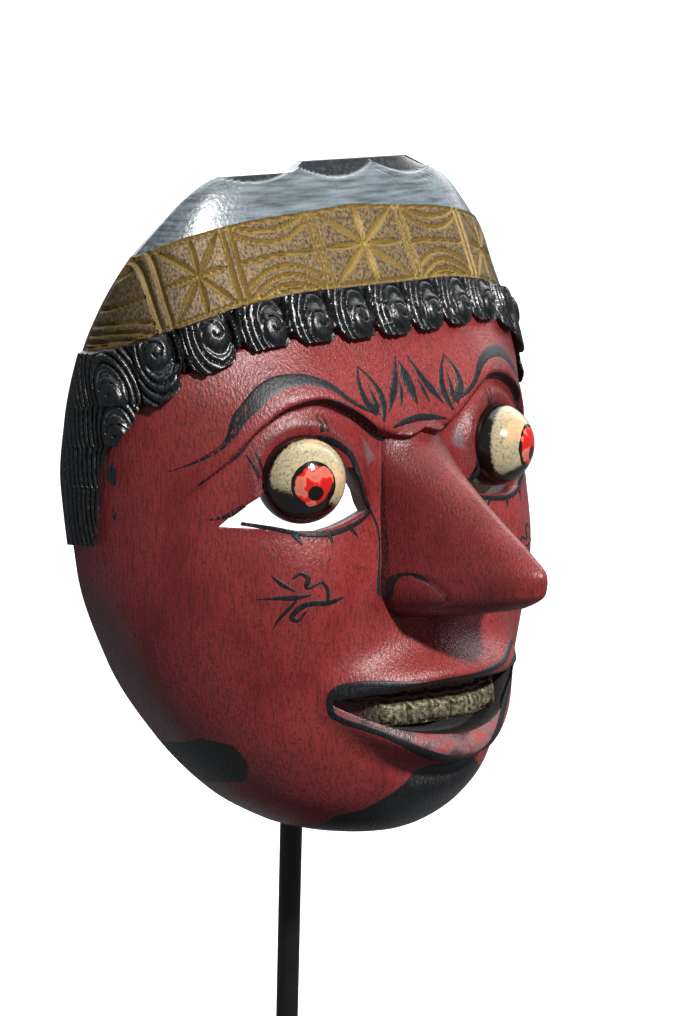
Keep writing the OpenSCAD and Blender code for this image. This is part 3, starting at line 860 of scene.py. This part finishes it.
# ---------------------------------------------------------------- painted strokes
RIDGE = [
    (-64.7, 9), (-60.6, 12.1), (-55.5, 16.5), (-50.4, 22.7), (-46, 25.3), (-39.9, 27.8), (-34.1, 28.4),
    (-29.2, 27.5), (-24, 24.4), (-18.3, 20.3), (-12.3, 15.9), (-4.9, 14.9), (0, 15.6),
]
EYEBROW = [
    (-69.6, 13), (-63, 16.2), (-58.8, 19.6), (-54.5, 26.5), (-51.2, 29.7), (-47.5, 32.8), (-44, 34.4),
    (-37.3, 34.9), (-30.7, 33), (-24.2, 27.8), (-20.5, 25.4), (-14.1, 22.8),
]
BALL_RIM = [
    (-51.5, 6.7), (-49.2, 10.7), (-46.7, 12.4), (-42.3, 15.2), (-39.4, 17.8), (-35, 18.5), (-31.4, 17.6),
    (-27.9, 15.1), (-26, 12.9), (-24.9, 9.7), (-23.7, 5.9), (-22.9, 2.8), (-19.6, -1.5), (-18.7, -2.7),
]
LOWER_LID = [
    (-56.3, -2.4), (-49.8, -4.4), (-42.5, -6.8), (-36.1, -7.7), (-29.9, -7.2), (-23.4, -5.8), (-18.7, -4),
]
UPPER_LIP = [
    (-37.4, -55.4), (-37.1, -52.3), (-35.4, -50.8), (-31.5, -50.2), (-26.5, -50.6), (-18.3, -52),
    (-10.7, -52.4), (0, -52.6),
]
CURL = [
    (-33.8, -25.5), (-38.2, -26.2), (-44.8, -26.2), (-46.6, -27.5), (-47.5, -29.5), (-46.4, -30.4),
    (-44.3, -27.9),
]
WING_SCROLL = [
    (-19.3, -28.5), (-18.6, -24), (-17.2, -21.5), (-16.3, -21.1), (-15.6, -23), (-15.3, -26.8),
    (-14.3, -29),
]
LEAF_STEM = [(-47.2, -18.5), (-45.1, -17.2), (-43.6, -18.6), (-44.1, -21.2), (-40, -20.1)]
MIDDLE_LEAF = [(-1.6, 36.5), (-0.6, 30), (0.4, 24)]
# Each stroke: its path, and its widths from end to end in mm.
STROKES = [
    (RIDGE, (0.8, 1.7, 1.7, 1.7, 1.4)),
    (EYEBROW, (0.2, 0.8, 1.3, 3, 3.9, 3.9, 3.2, 2.4, 1.5, 1.2, 0.3)),
    (BALL_RIM, (0.8, 1.7, 1.7, 1.5, 1.2)),
    (LOWER_LID, (1.0, 1.4, 1.5, 1.2)),
    ([(-62.7, -0.8), (-59.1, 0), (-55.8, 2.6)], (0.4, 1.4, 1.0)),
    ([(-33.8, 24.8), (-33.5, 20.2)], (0.4, 1.2)),
    ([(-31.9, 25), (-32, 20.2)], (0.4, 1.0)),
    ([(-53.7, 16.1), (-51.8, 9.7)], (0.4, 1.1)),
    ([(-51.8, 16.5), (-50.4, 11.2)], (0.4, 0.9)),
    ([(-44.9, -6.3), (-43.5, -9.8)], (2.2, 0.3)),
    ([(-35.5, -7.4), (-34.8, -10.4)], (2.2, 0.3)),
    ([(-28, -6.6), (-25.4, -10.1)], (2.0, 0.3)),
    (UPPER_LIP, (1.2, 1.6, 1.6, 1.4)),
    (LIP_EDGE, (1.2, 1.8, 2.2, 2.4)),
    ([(-51.6, -17.1), (-49.5, -19.8), (-46.8, -21.9)], (0.3, 1.3, 0.5)),
    (LEAF_STEM, (0.6, 1.2, 1.4, 1.0, 0.6)),
    ([(-40, -20.1), (-38.7, -22.1), (-38.6, -26)], (0.8, 1.2, 0.8)),
    ([(-55.1, -23.4), (-50.5, -23.5), (-46.6, -23.7), (-42.9, -23.3)], (0.2, 1.0, 1.7, 0.5)),
    ([(-46.6, -24.6), (-48.6, -27.2), (-50.4, -29.6), (-51.4, -32.2)], (0.6, 1.0, 0.7, 0.2)),
    (CURL, (0.7, 1.6, 1.6, 1.6, 1.2, 0.5)),
    ([(-17, 36.4), (-19, 31), (-18.2, 26.6), (-15, 23.2)], (0.3, 1.6, 2.4, 2.6)),
    ([(-17, 36.4), (-13.6, 32), (-11.9, 27), (-13.5, 20.8)], (0.3, 1.4, 2.6, 1.0)),
    ([(-15.6, 31.5), (-15.3, 28.5), (-14.6, 24.5)], (0.2, 1.3, 2.2)),
    ([(-2.2, 37.8), (-5.4, 31), (-10.8, 23)], (0.3, 1.8, 2.6, 0.4)),
    ([(-3.6, 31), (-4.4, 27.6), (-5.6, 24.2)], (0.3, 1.8, 0.4)),
    ([(-10.6, 18.7), (-5.2, 19.8), (0, 20.4)], (0.6, 1.8, 2.0)),
    ([(-18.7, -2.7), (-16.6, -9), (-18, -17), (-19.6, -22), (-20.6, -27)], (1.0, 0.8, 0.8, 1.2, 1.6)),
]


def path(points, step=0.7):
    """A smooth line through a few points, and the share of its length at each step."""
    knots = np.array(points, float)
    way = np.concatenate(([0], np.cumsum(np.hypot(*np.diff(knots, axis=0).T))))
    at = np.linspace(0, way[-1], max(int(way[-1] / step), 8))
    slope = np.gradient(knots, way, axis=0)
    i = np.clip(np.searchsorted(way, at, side="right") - 1, 0, len(knots) - 2)
    h = (way[i + 1] - way[i])[:, None]
    u = (at - way[i])[:, None] / h
    return cubic(u, knots[i], knots[i + 1], h * slope[i], h * slope[i + 1]), at / way[-1]


def stroke(points, widths, side=1, on=face):
    """A skin of paint along a path: full in the middle, thin at its edges and sunk a little in the wood."""
    spots, share = path(points)
    width = np.interp(share, np.linspace(0, 1, len(widths)), widths)
    ahead = np.gradient(spots, axis=0)
    across = np.column_stack([-ahead[:, 1], ahead[:, 0]]) / np.hypot(*ahead.T)[:, None]
    over = np.linspace(-0.5, 0.5, 9)
    spread = spots[:, None, :] + across[:, None, :] * (width[:, None] * over)[:, :, None]
    x, z = spread[..., 0] * side, spread[..., 1]
    wood = on(x, z)
    thick = 0.03 + 0.12 * (1 - (2 * over) ** 4)
    top = grid(x, -(wood + thick), z)
    low = grid(x, 0.5 - wood, z)[:, ::-1]
    return stack("stroke", np.concatenate([top, low], 1))


def make_strokes(paint):
    """Every painted line, as one piece."""
    lines = [stroke(points, widths, side) for side in (1, -1) for points, widths in STROKES]
    lines.append(stroke(MIDDLE_LEAF, (0.3, 3.4, 3.4, 0.6)))
    lines += [stroke(WING_SCROLL, (0.3, 0.35, 0.5, 0.8, 0.6, 0.35, 0.1), side, nose_face) for side in (1, -1)]
    take(lines[0])
    for one in lines:
        one.select_set(True)
    bpy.ops.object.join()
    piece = bpy.context.object
    piece.name = "painted_strokes"
    piece.data.materials.append(paint)
    give(piece, "dry", 0.14 * ease(48, 60, np.abs(points_of(piece)[:, 0])))
    seat(piece, "black_painted_wood", angle=60)


# ---------------------------------------------------------------- eyes and teeth
def make_eye(side, glance, paint):
    """A turned ball on its peg. side is -1 on the mask's right; glance is how many degrees it looks
    outwards."""
    bpy.ops.mesh.primitive_uv_sphere_add(segments=128, ring_count=64, radius=EYE_R, location=(0, 0, 0))
    ball = bpy.context.object
    ball.name = "eye_of_the_left" if side > 0 else "eye_of_the_right"
    bpy.ops.mesh.primitive_cylinder_add(vertices=32, radius=2.5, depth=17, location=(0, 0, 0))
    peg = bpy.context.object
    peg.data.transform(Matrix.Rotation(math.radians(-8), 4, "X") @ Matrix.Translation((0, 0, 8.5)))
    carve(ball, peg, "UNION")
    middle = RIGHT_EYE if side < 0 else EYE
    ball.data.transform(Matrix.Translation((middle.x * side, middle.y, middle.z)))
    ball.data.materials.clear()
    ball.data.materials.append(paint)
    rays = points_of(ball) - (middle.x * side, middle.y, middle.z)
    rays /= np.maximum(np.linalg.norm(rays, axis=1), 1e-6)[:, None]

    def degrees_from(way):
        return np.degrees(np.arccos(np.clip(rays @ way, -1, 1)))

    out, down = math.radians(glance), math.radians(3)
    look = np.array([side * math.sin(out) * math.cos(down), -math.cos(out) * math.cos(down), -math.sin(down)])
    dot = look + np.array([0, 0, -0.18])
    dot /= np.linalg.norm(dot)
    give(ball, "iris", degrees_from(look))
    give(ball, "pupil", degrees_from(dot))
    # Painted shade: the lower part of each ball, towards its outer side, is made dark; the black rim where
    # the ball meets the socket is paint.
    below = ease(-0.25, -0.7, rays[:, 2] - 0.4 * side * rays[:, 0])
    behind = ease(60, 74, degrees_from(np.array([side * 0.3, -0.95, 0])))
    give(ball, "shade_and_rim", np.clip(below + behind, 0, 1))
    seat(ball, "cream_painted_wood", "eyeball_left" if side > 0 else "eyeball_right")


def make_teeth(gilt):
    """A strip of blunt carved teeth, with rough gaps between them."""
    foot, gums, top, pitch = -65.8, -59.2, -52, 7.8
    z = np.linspace(foot, top, 61)[:, None]
    x = np.linspace(-35, 35, 281)[None, :]
    number = x / pitch + 0.08 * np.sin(x * 0.9)
    tooth = np.round(number)
    gap = np.abs(number - tooth) * 2
    gum_line = gums + 0.7 * (1 - gap) ** 2
    low_end = foot + 0.5 * np.sin(tooth * 3.7) + 0.5
    square = np.clip((z - low_end) / (gum_line - low_end), -0.2, 1) * 2 - 1
    tall_round = np.sqrt(np.clip(1 - np.abs(square) ** 4, 0, 1))
    wide_round = np.sqrt(np.clip(1 - (1 - np.minimum(gap * 1.06, 1)) ** 4, 0, 1))
    gum = ease(-0.2, 0.3, z - gum_line)
    ridge = 1.1 * hump(z - gum_line - 1.4, 0.8) * gum
    corner = ease(22, 27, np.abs(x))
    gum = np.maximum(gum, corner)
    arch = -0.009 * x**2
    crown = 2.4 * tall_round * wide_round * (1 - gum)
    depth = 65.2 + arch + crown + ridge - 2 * corner + 0.3 * np.sin(tooth * 2.3)
    high = z + 0.0025 * x**2 - droop(x)
    face_side = grid(x, -depth, high)[:, ::-1]
    back = grid(x, -61.5 - arch, high)
    strip = stack("teeth", np.concatenate([face_side, back], 1), (gilt,))
    give(strip, "gum", np.concatenate([gum[:, ::-1], 0 * gum], 1).ravel())
    seat(strip, "gilt_teeth", "upper_teeth", angle=50)


# ---------------------------------------------------------------- hair, headband and cap
# Middles of the locks, as distances from the mask's middle, and heights of the curls down its sides.
LOCKS = np.array([0, 14, 28, 42, 57.5, 70.5, 78])
SIDE_CURLS = np.array([37, 26, 15, 4])


def dressing(name, grow, z_low, z_high, step, low, high, relief, finish_of):
    """A carved layer on the forehead: the head form with relief, kept between two lines and above the
    core. Its points lie about step mm apart."""
    z = np.arange(z_low, z_high + step / 2, step)[:, None]
    n = int(290 / step)
    turn = np.linspace(90, -90, n)[None, :]
    x, z = np.broadcast_arrays(width_at(z, turn, grow), z)
    spots = grid(x, -plain(x, z, grow), z)
    step_x, step_z = np.gradient(spots, axis=1), np.gradient(spots, axis=0)
    normal = np.cross(step_x, step_z)
    normal /= np.maximum(np.linalg.norm(normal, axis=2), 1e-9)[:, :, None]
    normal *= np.where(normal[:, n // 2, 1] > 0, -1, 1)[:, None, None]
    length = np.linalg.norm(step_x, axis=2)
    arc = np.cumsum(length, 1) - length[:, :n // 2 + 1].sum(1)[:, None]
    rise, marks = relief(-arc * np.sign(x[:, :1]), z, x)
    fade = np.clip((89.5 - np.abs(turn)) / 3, 0, 1)
    rings = spots + normal * (rise * fade)[:, :, None]
    block = stack(name, rings, (finish_of,))
    for key, values in marks.items():
        give(block, key, values.ravel())
    carve(block, between(low, high, 0.7), "INTERSECT")
    carve(block, form(-LAYER, 20))
    return block


def hair_edge(x):
    """The lower edge of the locks: rounded lobes with notches between them."""
    side = np.abs(x)
    notches = (LOCKS[1:] + LOCKS[:-1]) / 2
    nick = sum(hump(side - notch, 1.5) for notch in notches)
    return curve(HAIR_LINE, side) - 1.2 + 3.6 * nick


def hair_relief(arc, z, x):
    """Locks that each roll into a curl at the lower end, with grooves that sweep round it.

    Along the forehead the curls stand in a row; past side_from they stand one below the other.
    """
    side_from, curl_r, spacing = 73.8, 4.4, 1.7
    row = np.argmin(np.abs(z[:, 0] - 50))
    order = np.argsort(x[row])
    row_x, row_arc = x[row][order], np.abs(arc[row][order])
    half = len(order) // 2
    edge_arc = np.interp(76.6, row_x[half:], row_arc[half:])
    at = np.interp(LOCKS, row_x, row_arc)
    at = np.concatenate([-at[:0:-1], at])
    at = at[np.abs(arc[..., None] - at).argmin(-1)]
    level = SIDE_CURLS[np.abs(z[..., None] - SIDE_CURLS).argmin(-1)]
    down_side = np.abs(x) > side_from
    p = np.where(down_side, np.abs(arc) - edge_arc, arc - at)
    q = 2 + np.where(down_side, z - level, z - 51.3 + 0.35 * np.maximum(np.abs(x) - 58, 0))
    off = p - np.where(down_side, 0, 2.4)
    r = np.hypot(off, q)
    sweep = np.hypot(off, 0.62 * q)
    lines = sweep / spacing
    comb = groove(lines - np.round(lines), 0.27) * ease(3.6, curl_r, sweep)
    round_curl = 0.5 * groove(sweep - 3.6, 0.7)
    turn_in = groove(r - 1.9 - 0.45 * np.arctan2(q, p - 2.4), 0.4) * (r < 4)
    parting = groove(np.abs(p) - 7.2, 1.1) * ~down_side
    cut = np.maximum(np.maximum(comb, round_curl), 0.7 * turn_in)
    lock = 1.2 * (1 - np.clip(np.abs(p) / 7.6, 0, 1) ** 2)
    boss = 1.3 * np.sqrt(np.clip(1 - (r / curl_r) ** 2, 0, 1))
    rise = lock + boss - 1.05 * cut - 1.6 * parting
    rub = np.clip(hump(cut - 0.25, 0.2) * (r > 4.2), 0, 1) * (0.35 + 0.65 * ease(45, 72, np.abs(x)))
    return rise, {"rub": rub}


def band_relief(arc, z, x):
    """Panels of nested curves between eight-rayed stars, all in V cuts."""
    side = np.abs(x)
    middle = (curve(BAND_LOW, side) + curve(BAND_TOP, side)) / 2
    half = (curve(BAND_TOP, side) - curve(BAND_LOW, side)) / 2
    b = (z - middle) * 11.2 / half
    star_at = np.where(side < 31, 0, 55)
    p = (side - star_at) * np.where(star_at == 0, 0.7, 1.3)
    r = np.hypot(p, b)
    turn = np.arctan2(b, p)
    ray = (turn * 4 / np.pi - np.round(turn * 4 / np.pi)) * np.pi / 4 * r
    reach = 10.4 / np.maximum(np.abs(np.cos(turn)), np.abs(np.sin(turn)))
    leaf_width = 0.3 + 0.9 * np.sin(np.pi * np.clip(r / reach, 0, 1))
    leaf = groove(ray, leaf_width) * (r < reach)
    star = leaf * np.where(star_at == 0, side < 15.2, np.abs(side - 55) < 8.2)
    bars = sum(groove(side - at, 0.8) for at in (16, 18.4, 43.6, 46, 64, 66.4))
    panel = ((side > 19.2) & (side < 42.8)) | (side > 67.2)
    a = side - np.where(side < 50, 31, 80)
    lines = groove(b, 0.75)
    for c, k in ((4, 0.03), (7.5, 0.02), (-3.2, -0.03), (-6, -0.035), (-8.8, -0.03)):
        lines = np.maximum(lines, groove((b - c - k * a**2) / np.sqrt(1 + (2 * k * a) ** 2), 0.85))
    cut = np.maximum(np.maximum(star, np.clip(bars, 0, 1)), lines * panel)
    border = np.maximum(groove(b - 10.4, 0.5), groove(b + 10.4, 0.5))
    cut = np.maximum(cut, 0.8 * border)
    # Painted shade: the band is made darker towards its sides.
    side_shade = 0.1 + 0.55 * ease(46, 74, side)
    return 0.5 - 1.15 * cut, {"cut": cut, "patina_and_shade": side_shade}


def cap_relief(arc, z, x):
    """A smooth band below, and a pared upper zone whose edge runs in scallops."""
    edge = 93 - 4.2 * np.abs(np.sin(np.pi * (x + 15) / 30)) ** 0.8
    upper = ease(-0.5, 0.5, z - edge)
    thin = groove(z - edge + 2.4, 0.4)
    # Painted shade: the black is carried further in towards the cap's sides.
    side_shade = 0.8 * ease(30, 62, np.abs(x))
    return 0.3 - 0.9 * upper - 0.2 * thin, {"ink": 2 * upper - 1 + side_shade}


def cap_top(x):
    """The top edge of the cap, pared lower on the mask's right."""
    return 94.6 - 3.7 * ease(-8, -18, x)


def make_headdress(hair_paint, gold_paint, cap_paint):
    """Hair, headband and cap."""
    hair = dressing("hair_locks", 2, -14, 60, 0.42, hair_edge, line(BAND_LOW), hair_relief, hair_paint)
    seat(hair, "black_painted_wood", "hair_fringe", angle=50)
    band = dressing("gold_band", 0.5, 42, 84, 0.4, line(BAND_LOW), line(BAND_TOP), band_relief, gold_paint)
    seat(band, "gold_painted_wood", "headband", angle=50)
    top = dressing("grey_cap", 0, 58, 94, 0.45, line(BAND_TOP), cap_top, cap_relief, cap_paint)
    seat(top, "grey_painted_wood", "cap", angle=40)


# ---------------------------------------------------------------- strap and felt
def make_strap(leather):
    """The strap that the wearer bites: cut leather with rounded edges, stitched along both sides."""
    x = np.linspace(-33.6, 33.6, 121)[:, None]
    turn = np.linspace(0, 2 * np.pi, 40, endpoint=False)[None, :]
    high = 7 * np.sign(np.sin(turn)) * np.abs(np.sin(turn)) ** 0.35
    thick = 1.15 * np.sign(np.cos(turn)) * np.abs(np.cos(turn)) ** 0.45
    stitch = 0.16 * groove(np.abs(np.abs(high) - 5.2), 0.5) * (0.5 + 0.5 * np.cos(2 * np.pi * x / 3))
    middle = 34.8 + 9 * (x / 34) ** 2
    strap = stack("leather_strap", grid(x, -middle + thick + stitch, -72 + high), (leather,))
    seat(strap, "strap_leather", "bite_strap", angle=60)


def make_felt(felt):
    """The felt under the base: cut square, with a soft edge, rounded by use."""
    low, high = (Vector(corner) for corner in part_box("felt_pad"))
    bpy.ops.mesh.primitive_cube_add(size=1, location=(low + high) / 2)
    pad = bpy.context.object
    pad.name = "felt_sheet"
    pad.scale = high - low
    bpy.ops.object.transform_apply(location=True, rotation=True, scale=True)
    edge = pad.modifiers.new("soft_edge", "BEVEL")
    edge.width = 0.0007
    edge.segments = 3
    take(pad)
    bpy.ops.object.modifier_apply(modifier=edge.name)
    pad.data.materials.append(felt)
    seat(pad, "felt", "felt_pad", body="stand", place=Matrix.Identity(4), angle=40)


def dress_cad_nodes(finishes):
    """Gives every node that keeps its CAD shape the finish of its slot."""
    for part in frame["record"]["subparts"]:
        node = bpy.data.objects.get(part["node"])
        if node is None or part["material_slot"] not in finishes:
            continue
        node.data.materials.clear()
        node.data.materials.append(finishes[part["material_slot"]])


make_camera()
make_studio()
red = red_lacquer()
wood = bare_wood()
dark = sooty_black()
hair_paint = black_hair_paint()
eye_paint = painted_eye()
make_mask_shell(red, wood, dark)
make_nose(red, dark)
make_strokes(brush_black())
make_eye(-1, 23, eye_paint)
make_eye(1, 23, eye_paint)
make_teeth(gilt_paint())
make_headdress(hair_paint, dull_gold_paint(), cap_black_with_painted_sheen())
make_strap(worn_leather())
make_felt(wool_felt())
dress_cad_nodes({
    "black_steel": powder_black(),
    "zinc_steel": zinc_plate(),
    "brass": old_brass(),
    "nylon": nylon(),
    "bare_wood": wood,
})
